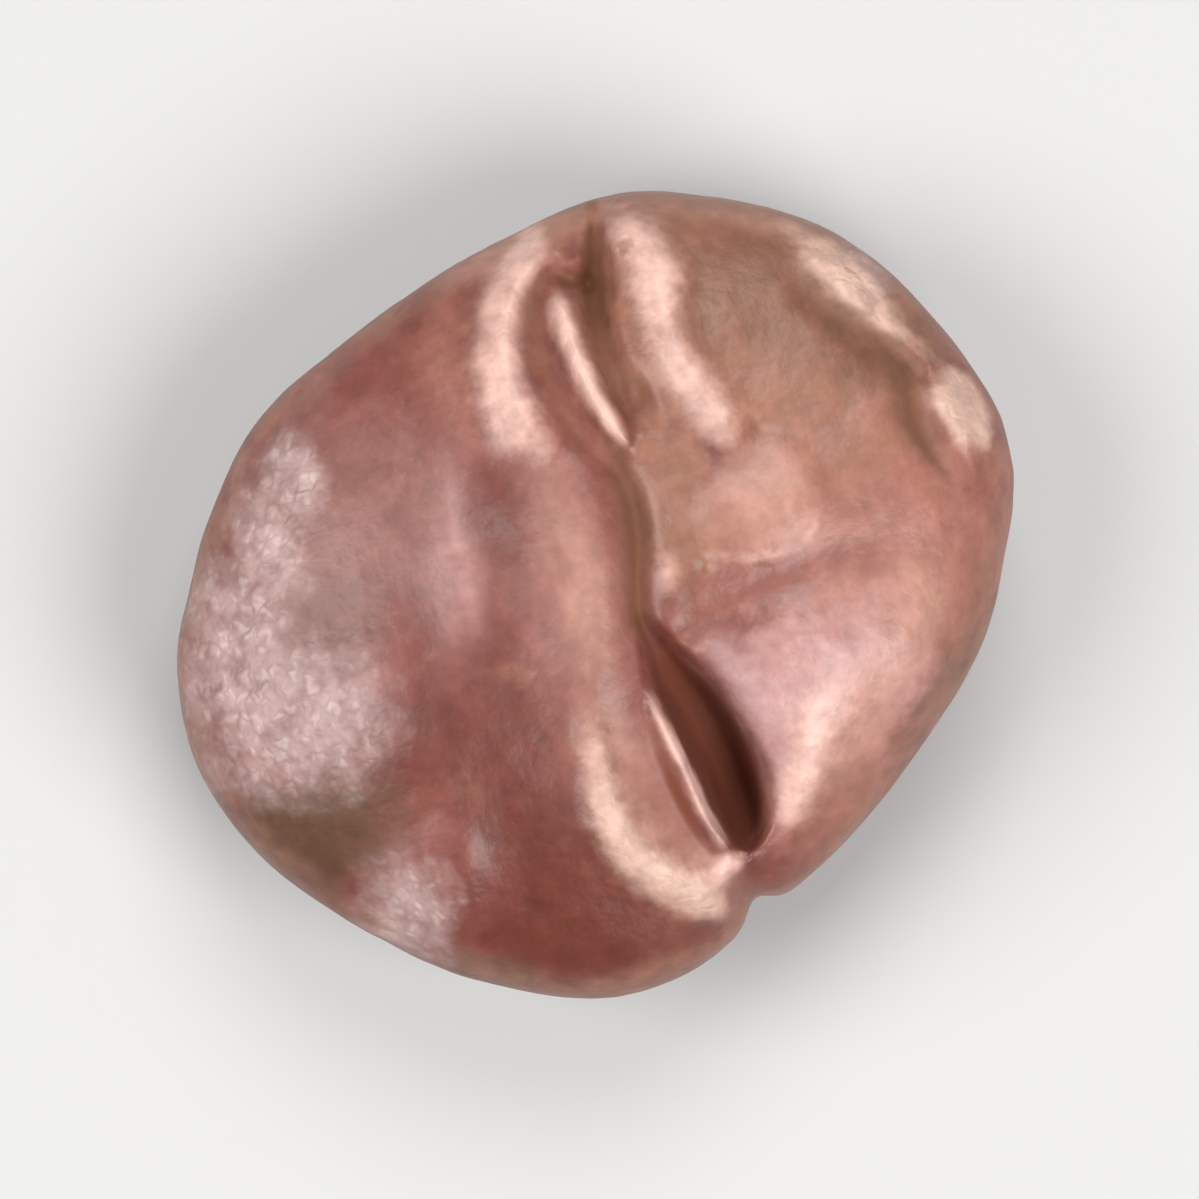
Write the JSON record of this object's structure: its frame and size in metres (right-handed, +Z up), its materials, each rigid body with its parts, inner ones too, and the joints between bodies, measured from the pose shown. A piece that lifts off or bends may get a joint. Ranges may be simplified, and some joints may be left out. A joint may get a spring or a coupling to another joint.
{
  "type": "jujube seed",
  "caption": "Dried sour jujube seed, flattened and rounded, with a lengthwise seam, raised shoulders and an opened crease on its upper face, lying on its fuller side.",
  "frame": {"origin": "middle of the seed's box, seen from above, at the surface that it lies on", "axes": "+X across the seam, +Y along the seam away from the hilum, +Z up out of the seamed face"},
  "size_m": [0.0078, 0.0072, 0.003],
  "materials": {
    "seed_coat": "satin"
  },
  "bodies": {
    "root": {"seed": "seed_coat"}
  },
  "joints": []
}
